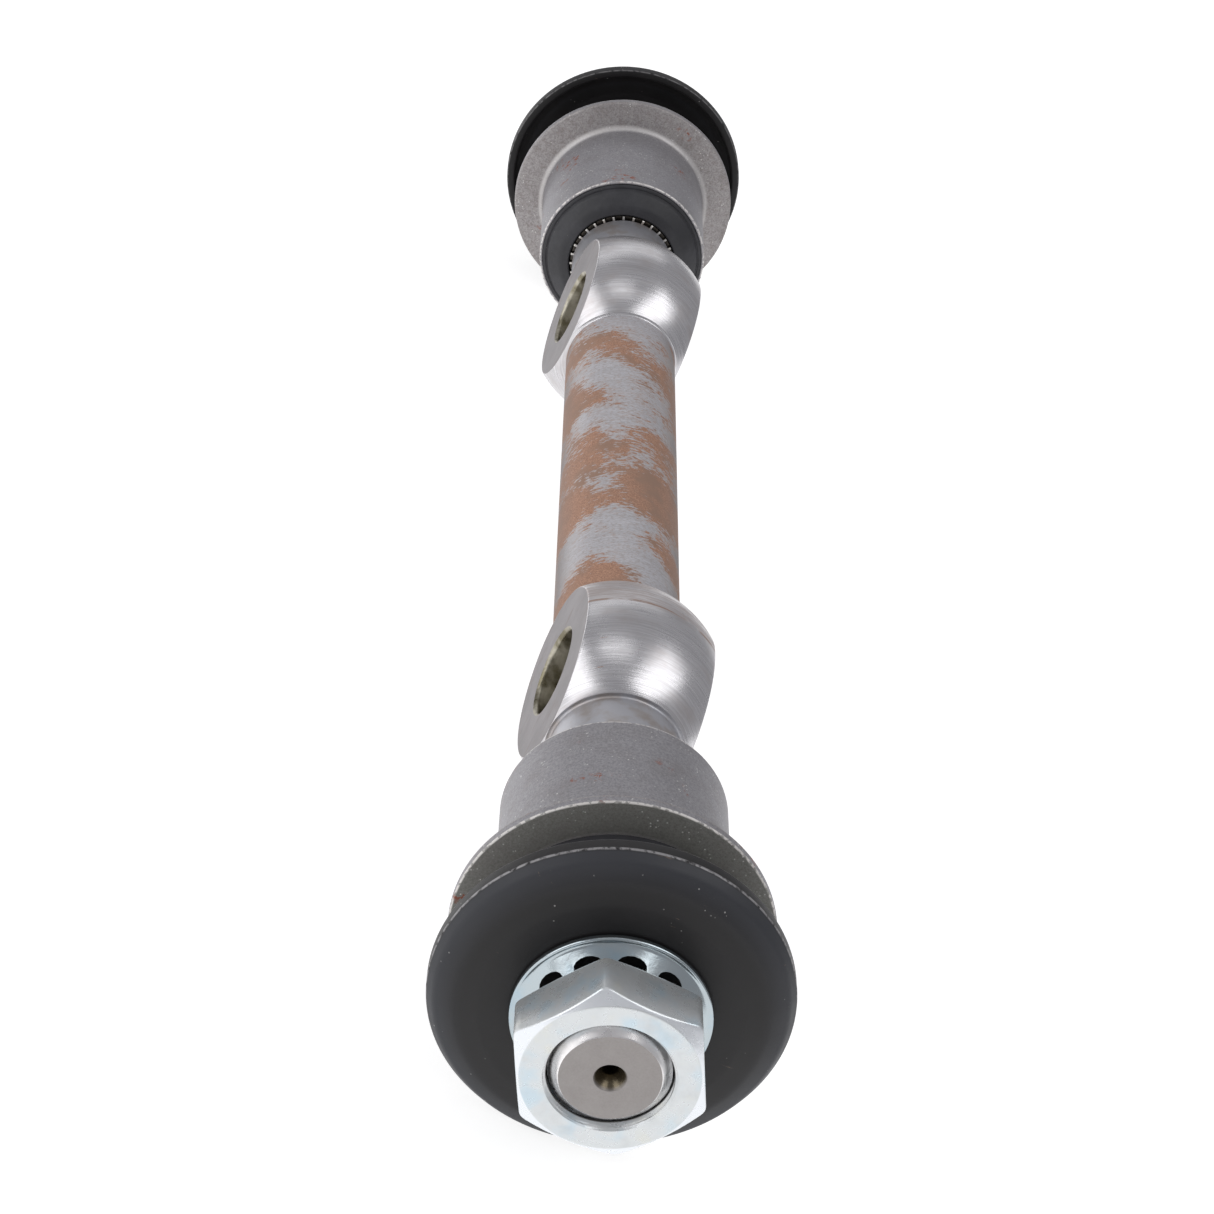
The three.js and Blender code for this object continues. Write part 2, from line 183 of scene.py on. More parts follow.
def apply_cut(piece, cutter):
    """Cuts one piece with another and keeps the material zones of both."""
    modifier = piece.modifiers.new("cut", "BOOLEAN")
    modifier.operation = "DIFFERENCE"
    modifier.solver = "EXACT"
    modifier.object = cutter
    modifier.material_mode = "INDEX"
    bpy.context.view_layer.update()
    graph = bpy.context.evaluated_depsgraph_get()
    cut = bpy.data.meshes.new_from_object(piece.evaluated_get(graph))
    piece.modifiers.clear()
    old = piece.data
    piece.data = cut
    bpy.data.meshes.remove(old)
    bpy.data.objects.remove(cutter)


def smooth(piece, sharp):
    """Smooth shading, broken at edges sharper than the angle given."""
    piece.data.shade_smooth()
    piece.data.set_sharp_from_angle(angle=math.radians(sharp))


def soften(piece, width):
    """Rounds a piece's sharp edges a little."""
    smooth(piece, 40)
    modifier = piece.modifiers.new("edges", "BEVEL")
    modifier.width = width * MM
    modifier.segments = 2
    modifier.limit_method = "ANGLE"
    modifier.angle_limit = math.radians(42)


# ---- Node materials ----

class Finish:
    """A Principled material and short ways to add nodes to it."""

    def __init__(self, name):
        self.material = bpy.data.materials.new(name)
        self.material.use_nodes = True
        self.tree = self.material.node_tree
        self.tree.nodes.clear()
        self.out = self.tree.nodes.new("ShaderNodeOutputMaterial")
        self.shader = self.tree.nodes.new("ShaderNodeBsdfPrincipled")
        self.tree.links.new(self.shader.outputs[0], self.out.inputs["Surface"])
        self.place = self.add("ShaderNodeTexCoord").outputs["Object"]
        parts = self.add("ShaderNodeSeparateXYZ", {0: self.place})
        self.x, self.y, self.z = parts.outputs
        flat = self.add("ShaderNodeCombineXYZ", {"X": self.x, "Z": self.z}).outputs[0]
        self.radius = self.add("ShaderNodeVectorMath", {0: flat}, operation="LENGTH").outputs["Value"]
        self.around = self.add("ShaderNodeVectorMath", {0: flat}, operation="NORMALIZE").outputs[0]

    def add(self, kind, inputs=None, **settings):
        node = self.tree.nodes.new(kind)
        for key, value in settings.items():
            setattr(node, key, value)
        for key, value in (inputs or {}).items():
            if isinstance(value, bpy.types.NodeSocket):
                self.tree.links.new(value, node.inputs[key])
            else:
                node.inputs[key].default_value = value
        return node

    def math(self, operation, a, b=0.0):
        return self.add("ShaderNodeMath", {0: a, 1: b}, operation=operation).outputs[0]

    def times(self, a, b):
        return self.math("MULTIPLY", a, b)

    def plus(self, a, b):
        return self.math("ADD", a, b)

    def minus(self, a, b):
        return self.math("SUBTRACT", a, b)

    def larger(self, a, b):
        return self.math("MAXIMUM", a, b)

    def depth(self):
        """Distance from the shaft's middle, along it."""
        return self.math("ABSOLUTE", self.y)

    def stretched(self, x, y, z, shift=0.0):
        """Object coordinates, in metres, scaled separately along each axis and shifted."""
        inputs = {0: self.place, "Scale": (x, y, z), "Location": (shift, shift, shift)}
        return self.add("ShaderNodeMapping", inputs).outputs[0]

    def noise(self, where, scale=1.0, detail=4.0, rough=0.6, distortion=0.0):
        node = self.add("ShaderNodeTexNoise", {
            "Vector": where, "Scale": scale, "Detail": detail,
            "Roughness": rough, "Distortion": distortion,
        })
        return node.outputs[0]

    def spots(self, scale, size, soft=0.04, seed=0.0):
        """Scattered round specks: 1 inside a speck."""
        where = self.add("ShaderNodeVectorMath", {0: self.place, 1: (seed, seed, seed)}).outputs[0]
        cells = self.add("ShaderNodeTexVoronoi", {"Vector": where, "Scale": scale})
        return self.ramp(cells.outputs["Distance"], size, size + soft, 1.0, 0.0)

    def ramp(self, value, low, high, start=0.0, end=1.0):
        node = self.add("ShaderNodeMapRange", {
            "Value": value, "From Min": low, "From Max": high, "To Min": start, "To Max": end,
        }, interpolation_type="SMOOTHSTEP")
        return node.outputs[0]

    def past(self, place, start, stop):
        """0 short of start and 1 past stop, both in millimetres."""
        return self.ramp(place, start * MM, stop * MM)

    def before(self, place, start, stop):
        """1 short of start and 0 past stop, both in millimetres."""
        return self.ramp(place, start * MM, stop * MM, 1.0, 0.0)

    def mix(self, share, a, b):
        """Colours a and b mixed by share."""
        node = self.add("ShaderNodeMix", data_type="RGBA")
        for socket, value in ((node.inputs[0], share), (node.inputs[6], a), (node.inputs[7], b)):
            if isinstance(value, bpy.types.NodeSocket):
                self.tree.links.new(value, socket)
            elif isinstance(value, tuple):
                socket.default_value = (*value, 1.0)
            else:
                socket.default_value = value
        return node.outputs[2]

    def blend(self, share, a, b):
        """Numbers a and b mixed by share."""
        node = self.add("ShaderNodeMix", {0: share, 2: a, 3: b})
        return node.outputs[0]

    def bump(self, *layers):
        """Adds (height, distance in millimetres) layers and feeds the shader's normal."""
        normal = None
        for height, distance in layers:
            inputs = {"Height": height, "Distance": distance * MM, "Strength": 1.0}
            if normal is not None:
                inputs["Normal"] = normal
            normal = self.add("ShaderNodeBump", inputs).outputs[0]
        self.tree.links.new(normal, self.shader.inputs["Normal"])

    def set(self, **values):
        """Feeds the shader's inputs and gives the finished material."""
        names = {"color": "Base Color", "metal": "Metallic", "rough": "Roughness"}
        for key, value in values.items():
            socket = self.shader.inputs[names[key]]
            if isinstance(value, bpy.types.NodeSocket):
                self.tree.links.new(value, socket)
            elif isinstance(value, tuple):
                socket.default_value = (*value, 1.0)
            else:
                socket.default_value = value
        return self.material


RUST_SHIFT = 22.6     # picks where the rust patches fall on the bar
STUDIO_UP = (-math.sin(LEAN), 0.0, math.cos(LEAN))    # the studio's up direction in the part's frame; the bar's flanks facing away from it are painted darker, as shade


def bar_finish():
    """The plain bar: drawn steel, flash-rusted in patches and short dashes, dull and painted darker as shade
    on its flanks away from the studio's up direction.
    """
    f = Finish("bar_rusty_steel")
    lines = f.noise(f.stretched(160, 3400, 160), detail=5, rough=0.75)
    dashes = f.noise(f.stretched(620, 1700, 620), detail=3, rough=0.6)
    flecks = f.noise(f.stretched(1500, 3600, 1500), detail=3, rough=0.7)
    patches = f.noise(f.stretched(52, 58, 52, RUST_SHIFT), detail=3, rough=0.5)
    grain = f.noise(f.place, 3400, 4, 0.75)
    tone = f.noise(f.place, 130, 3, 0.6)
    amount = f.plus(f.times(patches, 3.0), f.times(dashes, 1.5))
    amount = f.plus(amount, f.times(flecks, 0.7))
    upward = f.add("ShaderNodeVectorMath", {0: f.around, 1: STUDIO_UP}, operation="DOT_PRODUCT")
    # painted shade: flanks facing away from the studio's up direction get a darker colour, with slightly
    # more rust and dullness
    shaded_flank = f.ramp(upward.outputs["Value"], 0.25, 0.85, 1.0, 0.0)
    amount = f.plus(amount, f.times(shaded_flank, 0.04))
    rusted = f.ramp(amount, 2.58, 2.68)
    stain = f.ramp(amount, 2.30, 2.66)
    steel = f.mix(f.ramp(lines, 0.3, 0.7), (0.44, 0.435, 0.46), (0.60, 0.59, 0.62))
    steel = f.mix(f.times(f.ramp(flecks, 0.48, 0.62), 0.75), steel, (0.36, 0.31, 0.295))
    # painted shade darkens the steel on the flanks
    steel = f.mix(f.times(shaded_flank, 0.85), steel, (0.19, 0.168, 0.162))
    stained = f.mix(f.times(stain, 0.42), steel, (0.45, 0.32, 0.26))
    rust = f.mix(f.ramp(grain, 0.35, 0.65), (0.27, 0.135, 0.088), (0.52, 0.30, 0.20))
    rust = f.mix(f.ramp(tone, 0.42, 0.68), rust, (0.31, 0.19, 0.135))
    # painted shade darkens the rust on the flanks
    rust = f.mix(f.times(shaded_flank, 0.6), rust, (0.19, 0.118, 0.09))
    dull = f.ramp(f.larger(rusted, shaded_flank), 0, 1, 0.42, 0.62)
    f.bump((lines, 0.014), (grain, 0.022), (rusted, 0.018))
    return f.set(
        color=f.mix(rusted, stained, rust),
        metal=f.ramp(rusted, 0.0, 1.0, 0.38, 0.05),
        rough=f.plus(dull, f.times(grain, 0.12)),
    )


def boss_finish():
    """The bosses: bright turned steel with fine tool marks, a rusty score and a brown film."""
    f = Finish("boss_turned_steel")
    marks = f.noise(f.stretched(90, 6200, 90), detail=5, rough=0.75)
    coarse = f.noise(f.stretched(120, 1700, 120), detail=5, rough=0.7)
    cloud = f.noise(f.stretched(110, 260, 110), detail=5, rough=0.65)
    nicks = f.noise(f.stretched(190, 2300, 190), detail=5, rough=0.6)
    depth = f.depth()
    front = f.before(f.y, -30, 30)
    crown = f.math("ABSOLUTE", f.minus(depth, (BOSS_CENTRE - 0.5) * MM))
    crown = f.before(crown, 0.15, 0.5)
    score = f.times(f.times(crown, front), f.ramp(nicks, 0.43, 0.50))
    inner = f.times(f.before(depth, BOSS_CENTRE - 2.1, BOSS_CENTRE + 0.4), front)
    stray = f.ramp(nicks, 0.695, 0.725)
    rusty = f.larger(f.times(score, 0.8), stray)
    steel = f.mix(f.ramp(marks, 0.3, 0.7), (0.50, 0.49, 0.505), (0.76, 0.75, 0.77))
    steel = f.mix(f.ramp(cloud, 0.45, 0.75), steel, (0.54, 0.51, 0.51))
    brown = f.times(inner, f.ramp(coarse, 0.36, 0.60))
    steel = f.mix(f.times(brown, 0.75), steel, (0.42, 0.355, 0.335))
    dull = f.times(f.larger(rusty, brown), 0.22)
    f.bump((marks, 0.012), (coarse, 0.009), (score, 0.03))
    return f.set(
        color=f.mix(rusty, steel, (0.30, 0.17, 0.115)),
        metal=f.minus(f.ramp(rusty, 0, 1, 1.0, 0.35), f.times(brown, 0.35)),
        rough=f.plus(f.ramp(cloud, 0.3, 0.7, 0.25, 0.33), dull),
    )


def flat_finish():
    """The milled pads."""
    f = Finish("pad_milled_steel")
    marks = f.noise(f.stretched(60, 300, 2400), detail=4, rough=0.65)
    cloud = f.noise(f.place, 130, 5, 0.65)
    wear = f.noise(f.stretched(200, 600, 200), detail=4, rough=0.6)
    f.bump((marks, 0.012))
    face = f.mix(f.ramp(cloud, 0.3, 0.7), (0.20, 0.188, 0.195), (0.31, 0.293, 0.302))
    return f.set(
        color=f.mix(f.times(f.ramp(wear, 0.52, 0.68), 0.5), face, (0.21, 0.175, 0.165)),
        metal=0.75,
        rough=f.ramp(cloud, 0.3, 0.7, 0.44, 0.56),
    )


def hole_finish():
    """The drilled bolt holes: spiral marks under a film of old oil."""
    f = Finish("hole_drilled_steel")
    marks = f.noise(f.stretched(2600, 120, 120), detail=4, rough=0.7)
    cloud = f.noise(f.place, 260, 4, 0.6)
    f.bump((marks, 0.03))
    return f.set(
        color=f.mix(f.ramp(cloud, 0.35, 0.65), (0.20, 0.18, 0.125), (0.52, 0.49, 0.41)),
        metal=1.0,
        rough=f.ramp(cloud, 0.3, 0.7, 0.26, 0.42),
    )


def journal_finish():
    """The journals between bosses and bushings: ground, with a brown oil film."""
    f = Finish("journal_ground_steel")
    marks = f.noise(f.stretched(50, 4200, 50), detail=5, rough=0.7)
    cloud = f.noise(f.place, 200, 4, 0.6)
    f.bump((marks, 0.012))
    return f.set(
        color=f.mix(f.ramp(cloud, 0.42, 0.7), (0.50, 0.50, 0.53), (0.41, 0.37, 0.35)),
        metal=0.8,
        rough=f.ramp(marks, 0.2, 0.8, 0.36, 0.48),
    )


def end_finish():
    """The faced and centre-drilled ends, with painted shade darkening the centre hole."""
    f = Finish("end_faced_steel")
    rings = f.noise(f.add("ShaderNodeCombineXYZ", {"X": f.radius}).outputs[0], 4200, 3, 0.6)
    grain = f.noise(f.place, 3200, 3, 0.7)
    cloud = f.noise(f.place, 420, 3, 0.6)
    # painted shade: the centre hole is coloured dark brown
    hole_shade = f.before(f.radius, CENTRE_HOLE_MOUTH - 0.45, CENTRE_HOLE_MOUTH + 0.05)
    face = f.mix(cloud, (0.245, 0.225, 0.218), (0.33, 0.31, 0.302))
    face = f.mix(f.times(grain, 0.45), face, (0.44, 0.42, 0.41))
    spot = f.ramp(f.noise(f.place, 430, 4), 0.71, 0.75)
    face = f.mix(spot, face, (0.30, 0.18, 0.11))
    f.bump((rings, 0.010), (grain, 0.012))
    return f.set(
        color=f.mix(hole_shade, face, (0.15, 0.125, 0.085)),
        metal=0.9,
        rough=f.blend(hole_shade, 0.50, 0.25),
    )


def thread_finish():
    """Rolled threads, bare and slightly oily, with the bevel at the shaft's end painted near white as a
    highlight.
    """
    f = Finish("thread_rolled_steel")
    cloud = f.noise(f.place, 500, 4, 0.6)
    # painted highlight: the bevel round the shaft's end is coloured near white
    bevel_highlight = f.past(f.depth(), SHAFT_END - 1.7, SHAFT_END - 1.4)
    steel = f.mix(cloud, (0.38, 0.37, 0.37), (0.62, 0.60, 0.60))
    f.bump((f.noise(f.stretched(60, 3000, 60), detail=3), 0.008))
    return f.set(
        color=f.mix(bevel_highlight, steel, (0.90, 0.88, 0.88)),
        metal=1.0,
        rough=f.ramp(cloud, 0.3, 0.7, 0.24, 0.36),
    )


def outer_sleeve_finish():
    """Pressed sleeve: matte phosphated steel, thin bright edges that are partly worn bare and partly a
    painted highlight, painted shade on the flange's front face, spots of rust.
    """
    f = Finish("sleeve_matte_steel")
    grain = f.noise(f.place, 2600, 6, 0.8)
    cloud = f.noise(f.place, 150, 5, 0.65)
    mottle = f.noise(f.place, 700, 4, 0.7)
    spokes = f.add("ShaderNodeVectorMath", {0: f.around, "Scale": 30.0}, operation="SCALE").outputs[0]
    radial = f.noise(spokes, 1.0, 5, 0.75)
    lines = f.noise(f.stretched(60, 2200, 60), detail=4, rough=0.7)
    on_flange = f.past(f.radius, SLEEVE_RADIUS + 0.5, SLEEVE_RADIUS + 1.5)
    depth = f.depth()
    back = f.times(on_flange, f.before(depth, FLANGE_BACK + 0.3, FLANGE_BACK + 0.8))
    front = f.times(on_flange, f.past(depth, FLANGE_FRONT - 0.3, FLANGE_FRONT - 0.1))
    flecks = f.times(f.spots(1300, 0.12, 0.10, 3.1), f.ramp(f.noise(f.place, 240, 3), 0.50, 0.62))
    rust_zone = f.ramp(f.noise(f.place, 95, 3, 0.6), 0.615, 0.68)
    rust_grain = f.ramp(f.noise(f.place, 750, 5, 0.7), 0.50, 0.60)
    rusty = f.times(rust_zone, rust_grain)
    tube = f.mix(f.ramp(grain, 0.3, 0.7), (0.235, 0.228, 0.243), (0.42, 0.41, 0.432))
    tube = f.mix(f.times(f.ramp(lines, 0.5, 0.8), 0.45), tube, (0.48, 0.47, 0.485))
    tube = f.mix(f.times(f.ramp(mottle, 0.5, 0.7), 0.35), tube, (0.24, 0.23, 0.235))
    flange = f.mix(f.ramp(grain, 0.32, 0.68), (0.25, 0.232, 0.232), (0.48, 0.455, 0.455))
    streak = f.times(f.ramp(radial, 0.52, 0.66), f.ramp(cloud, 0.42, 0.6))
    flange = f.mix(f.times(streak, 0.55), flange, (0.50, 0.46, 0.44))
    flange = f.mix(f.times(f.ramp(mottle, 0.48, 0.66), 0.4), flange, (0.22, 0.185, 0.17))
    # olive grey tint, made darker as painted shade on the flange's front face under the cup washer
    shaded_olive = f.mix(f.ramp(grain, 0.3, 0.7), (0.19, 0.187, 0.172), (0.31, 0.306, 0.285))
    color = f.mix(back, tube, flange)
    color = f.mix(front, color, shaded_olive)
    color = f.mix(f.times(f.ramp(cloud, 0.45, 0.72), 0.35), color, (0.23, 0.21, 0.205))
    color = f.mix(f.times(flecks, 0.85), color, (0.85, 0.84, 0.82))
    # bright edges: the flange rim and the sleeve's mouth are worn bare in chips and also painted bright as
    # highlights
    rim = f.past(f.radius, FLANGE_RADIUS - 0.35, FLANGE_RADIUS - 0.15)
    rim = f.times(rim, f.past(depth, FLANGE_FRONT - 0.5, FLANGE_FRONT - 0.3))
    mouth = f.before(depth, SLEEVE_START + 0.3, SLEEVE_START + 0.5)
    mouth = f.times(mouth, f.past(f.radius, SLEEVE_RADIUS - 0.4, SLEEVE_RADIUS - 0.2))
    # painted highlight: an even bright band on the knuckle between tube and flange
    knuckle_highlight = f.past(f.radius, SLEEVE_RADIUS, SLEEVE_RADIUS + 0.4)
    knuckle_highlight = f.times(knuckle_highlight, f.before(f.radius, SLEEVE_RADIUS + 0.8, SLEEVE_RADIUS + 1.5))
    knuckle_highlight = f.times(knuckle_highlight, f.past(depth, FLANGE_BACK - 3.1, FLANGE_BACK - 1.1))
    chips = f.ramp(f.noise(f.place, 1100, 4), 0.42, 0.52)
    bright = f.times(f.larger(rim, mouth), f.ramp(chips, 0, 1, 0.15, 0.85))
    bright = f.larger(bright, f.times(knuckle_highlight, 0.40))
    color = f.mix(bright, color, (0.80, 0.77, 0.74))
    color = f.mix(rusty, color, (0.27, 0.085, 0.05))
    f.bump((grain, 0.030), (mottle, 0.020), (lines, 0.006))
    metal = f.minus(0.62, f.times(rusty, 0.5))
    rough = f.plus(0.46, f.times(grain, 0.16))
    return f.set(
        color=color,
        metal=f.times(metal, f.ramp(front, 0, 1, 1.0, 0.25)),
        rough=f.minus(rough, f.times(bright, 0.18)),
    )


def inner_sleeve_finish():
    """The spacer tube: painted dark as shade in its notches and all over, its tooth tips painted bright as
    highlights.
    """
    f = Finish("spacer_bright_steel")
    grain = f.noise(f.place, 1800, 4, 0.7)
    # painted highlight on the tooth tips; everywhere else gets a near-black colour as painted shade
    lit_tips = f.before(f.depth(), SPACER_START + 0.02, SPACER_START + 0.25)
    bright = f.mix(grain, (0.55, 0.53, 0.50), (0.88, 0.86, 0.82))
    f.bump((grain, 0.02))
    return f.set(
        color=f.mix(lit_tips, (0.10, 0.09, 0.078), bright),
        metal=1.0,
        rough=f.ramp(grain, 0.3, 0.7, 0.30, 0.45),
    )


def rubber_finish():
    """Black rubber with a dull bloom and dust in its hollows."""
    f = Finish("bushing_rubber")
    grain = f.noise(f.place, 1500, 5, 0.7)
    cloud = f.noise(f.place, 160, 4, 0.6)
    bloom = f.ramp(cloud, 0.40, 0.75)
    dust = f.times(f.spots(900, 0.07, 0.08, 1.7), f.ramp(f.noise(f.place, 300, 3), 0.55, 0.65))
    color = f.mix(bloom, (0.023, 0.023, 0.027), (0.039, 0.039, 0.045))
    f.bump((grain, 0.03))
    return f.set(
        color=f.mix(f.times(dust, 0.6), color, (0.30, 0.29, 0.27)),
        metal=0.0,
        rough=f.ramp(grain, 0.3, 0.7, 0.44, 0.56),
    )


def cup_finish():
    """Black phosphate coating, worn through along the rim, with dust, faint scratches and a painted lighter
    bluish reflection on the face just inside the rim.
    """
    f = Finish("washer_black_coating")
    grain = f.noise(f.place, 1900, 5, 0.75)
    cloud = f.noise(f.place, 110, 5, 0.62)
    dust = f.times(f.spots(640, 0.06, 0.05, 5.3), f.ramp(f.noise(f.place, 210, 3), 0.53, 0.64))
    scratch = f.noise(f.stretched(140, 1200, 1500), detail=5, rough=0.6, distortion=0.3)
    scratch = f.times(f.ramp(scratch, 0.67, 0.72), f.ramp(f.noise(f.place, 70, 2), 0.52, 0.62))
    depth = f.depth()
    brink = f.math("ABSOLUTE", f.minus(depth, (CUP_BEND - 0.05) * MM))
    brink = f.before(brink, 0.1, 0.32)
    brink = f.times(brink, f.past(f.radius, CUP_RADIUS - 1.26, CUP_RADIUS - 0.86))
    lip = f.before(depth, CUP_LIP_END + 0.1, CUP_LIP_END + 0.4)
    lip = f.times(lip, f.past(f.radius, CUP_RADIUS - 0.34, CUP_RADIUS - 0.21))
    lip = f.times(lip, 0.5)
    edge = f.times(f.larger(brink, lip), f.ramp(f.noise(f.place, 900, 4), 0.34, 0.56))
    color = f.mix(cloud, (0.008, 0.0075, 0.008), (0.022, 0.0205, 0.0215))
    # painted reflection: a lighter bluish band on the face just inside the rim
    outward = f.past(f.radius, CUP_RADIUS - 5.96, CUP_RADIUS - 0.66)
    outward = f.times(outward, f.past(depth, CUP_BEND, CUP_BEND + 0.5))
    color = f.mix(f.times(outward, 0.8), color, (0.042, 0.044, 0.052))
    color = f.mix(f.times(dust, 0.7), color, (0.42, 0.41, 0.40))
    color = f.mix(f.times(scratch, 0.5), color, (0.23, 0.16, 0.12))
    color = f.mix(f.times(edge, 0.75), color, (0.42, 0.41, 0.42))
    f.bump((grain, 0.016), (cloud, 0.05))
    f.shader.inputs["Specular IOR Level"].default_value = 0.34
    return f.set(
        color=color,
        metal=f.times(edge, 0.6),
        rough=f.plus(f.ramp(cloud, 0.3, 0.7, 0.40, 0.50), f.times(grain, 0.08)),
    )


def zinc_finish(name, plain, metal, low, high):
    """Zinc plate tinted blue and straw, with a painted highlight on a nut's chamfer and painted shade in its
    bore.
    """
    f = Finish(name)
    grain = f.noise(f.place, 1300, 4, 0.65)
    cloud = f.noise(f.place, 240, 4, 0.6)
    tint = f.noise(f.place, 150, 3, 0.55)
    pits = f.times(f.spots(850, 0.06, 0.05, 2.2), f.ramp(f.noise(f.place, 330, 3), 0.58, 0.66))
    blue = tuple(c * share for c, share in zip(plain, (0.86, 0.98, 1.06)))
    straw = tuple(c * share for c, share in zip(plain, (1.04, 1.0, 0.90)))
    cool = f.mix(f.ramp(tint, 0.30, 0.52), blue, plain)
    color = f.mix(f.ramp(tint, 0.55, 0.78), cool, straw)
    color = f.mix(f.times(f.ramp(cloud, 0.5, 0.75), 0.25), color, (0.42, 0.44, 0.45))
    color = f.mix(f.times(pits, 0.3), color, (0.36, 0.36, 0.34))
    # painted highlight: the nut's front chamfer is coloured near white
    cone = f.plus(f.depth(), f.times(f.radius, NUT_CHAMFER_SLOPE))
    height = NUT_FRONT - NUT_CHAMFER_DEPTH + NUT_CHAMFER_SLOPE * NUT_CHAMFER_RADIUS
    chamfer_highlight = f.past(cone, height - 0.10, height - 0.04)
    outside = f.past(f.radius, NUT_CHAMFER_RADIUS - 0.1, NUT_CHAMFER_RADIUS + 0.1)
    chamfer_highlight = f.times(chamfer_highlight, outside)
    color = f.mix(chamfer_highlight, color, (0.86, 0.89, 0.93))
    # painted shade: the nut's bore is coloured near black
    bore = f.before(f.radius, NUT_BORE + 0.05, NUT_BORE + 0.2)
    color = f.mix(bore, color, (0.07, 0.068, 0.066))
    dull = f.times(f.larger(pits, bore), 0.2)
    f.bump((grain, 0.014), (cloud, 0.03))
    return f.set(
        color=color,
        metal=metal,
        rough=f.plus(f.ramp(cloud, 0.3, 0.7, low, high), dull),
    )


FINISHES = {
    "shaft": [bar_finish(), boss_finish(), flat_finish(), hole_finish(),
              journal_finish(), end_finish(), thread_finish()],
    "outer_sleeve": [outer_sleeve_finish()],
    "rubber": [rubber_finish()],
    "inner_sleeve": [inner_sleeve_finish()],
    "cup": [cup_finish()],
    "nut": [zinc_finish("zinc_plate_nut", (0.69, 0.715, 0.725), 0.66, 0.24, 0.33)],
    "lock_washer": [zinc_finish("zinc_plate_washer", (0.47, 0.53, 0.56), 0.95, 0.14, 0.22)],
}


# ---- The shaft ----

FLAT_POINTS = 24      # points across each pad
EDGE_POINTS = 5       # round each of a pad's long edges
CROWN_POINTS = 62     # over each crown
PAD_EDGE = 0.45       # rounding where pad and crown meet
BAR_ROWS = 8          # rings along half of the plain bar
BOSS_ROWS = 48        # rings along a boss
FILLET_ROWS = 4
THREAD_ROWS = 12      # rings for each turn of the thread
BAR_FILLET = 0.4
BAR_FILLET_START = BOSS_START - 0.9
JOURNAL_FILLET = 0.45
SEAT_END = 150.0
RELIEF = 158.0        # last plain ring before the thread
HOLE_POINTS = 96      # points round a bolt hole


def shaft_ring(radius, y):
    """One ring of the shaft. Where it is wide enough the two pads cut it flat.

    Every ring has the same count of points, in the same order, so that rings join up. A round
    ring keeps the pads' points close together, about where a boss's narrow end has them.
    """
    edge_step = 0.02
    cut = radius > FLAT_OFFSET + 0.02
    soft = min(PAD_EDGE, 0.4 * (radius - FLAT_OFFSET)) if cut else 0.0
    if cut:
        corner = math.sqrt((radius - soft) ** 2 - (FLAT_OFFSET - soft) ** 2)
        lean = math.atan2(corner, FLAT_OFFSET - soft)
    else:
        lean = math.acos(FLAT_OFFSET / BOSS_END_RADIUS) * 0.75
        corner = 0.0
    quarter = []
    half = FLAT_POINTS // 2
    for k in range(half):
        if cut:
            quarter.append((FLAT_OFFSET, corner * k / half))
        else:
            angle = lean * k / half
            quarter.append((radius * math.cos(angle), radius * math.sin(angle)))
    for k in range(EDGE_POINTS):
        if cut:
            angle = lean * k / EDGE_POINTS
            x = FLAT_OFFSET - soft + soft * math.cos(angle)
            z = corner + soft * math.sin(angle)
            quarter.append((x, z))
        else:
            angle = lean * (1 + edge_step * k)
            quarter.append((radius * math.cos(angle), radius * math.sin(angle)))
    first = lean if cut else lean * (1 + edge_step * EDGE_POINTS)
    half = CROWN_POINTS // 2
    for k in range(half):
        angle = first + (math.pi / 2 - first) * k / half
        quarter.append((radius * math.cos(angle), radius * math.sin(angle)))
    top = [(0.0, radius)]
    right_up = quarter
    left_up = [(-x, z) for x, z in reversed(quarter[1:])]
    left = [(-quarter[0][0], 0.0)]
    left_down = [(-x, -z) for x, z in quarter[1:]]
    bottom = [(0.0, -radius)]
    right_down = [(x, -z) for x, z in reversed(quarter[1:])]
    loop = right_up + top + left_up + left + left_down + bottom + right_down
    return [(x, y, z) for x, z in loop]


def thread_height(share):
    """Height of the thread at a share of one pitch: 0 on its flat root, 1 on its flat crest."""
    height = 1.0 - abs(2.0 * (share % 1.0) - 1.0)
    return min(1.0, max(0.0, 1.35 * height - 0.14))


def thread_ring(y, side):
    """One ring through the thread on the side given, cut back by the end chamfer."""
    depth_in = SHAFT_END - y
    tip = END_FACE_RADIUS + depth_in
    run_in = min(1.0, max(0.0, (y - THREAD_START) / THREAD_PITCH))
    run_in *= min(1.0, max(0.0, (depth_in - END_CHAMFER) / 0.5))
    ring = []
    for x, _, z in shaft_ring(THREAD_RADIUS, 0.0):
        turn = math.atan2(z, x) / (2 * math.pi)
        share = y / THREAD_PITCH - side * turn
        depth = (1.0 - thread_height(share)) * (THREAD_RADIUS - THREAD_ROOT) * run_in
        radius = min(THREAD_RADIUS - depth, tip)
        scale = radius / THREAD_RADIUS
        ring.append((x * scale, y * side, z * scale))
    return ring


def boss_radius(y):
    """An arc runs down from the boss's crown to each of its ends."""
    length = BOSS_CENTRE - BOSS_START if y < BOSS_CENTRE else BOSS_END - BOSS_CENTRE
    sagitta = BOSS_CROWN_RADIUS - BOSS_END_RADIUS
    barrel = (length ** 2 + sagitta ** 2) / (2 * sagitta)
    return BOSS_CROWN_RADIUS - barrel + math.sqrt(barrel ** 2 - (y - BOSS_CENTRE) ** 2)


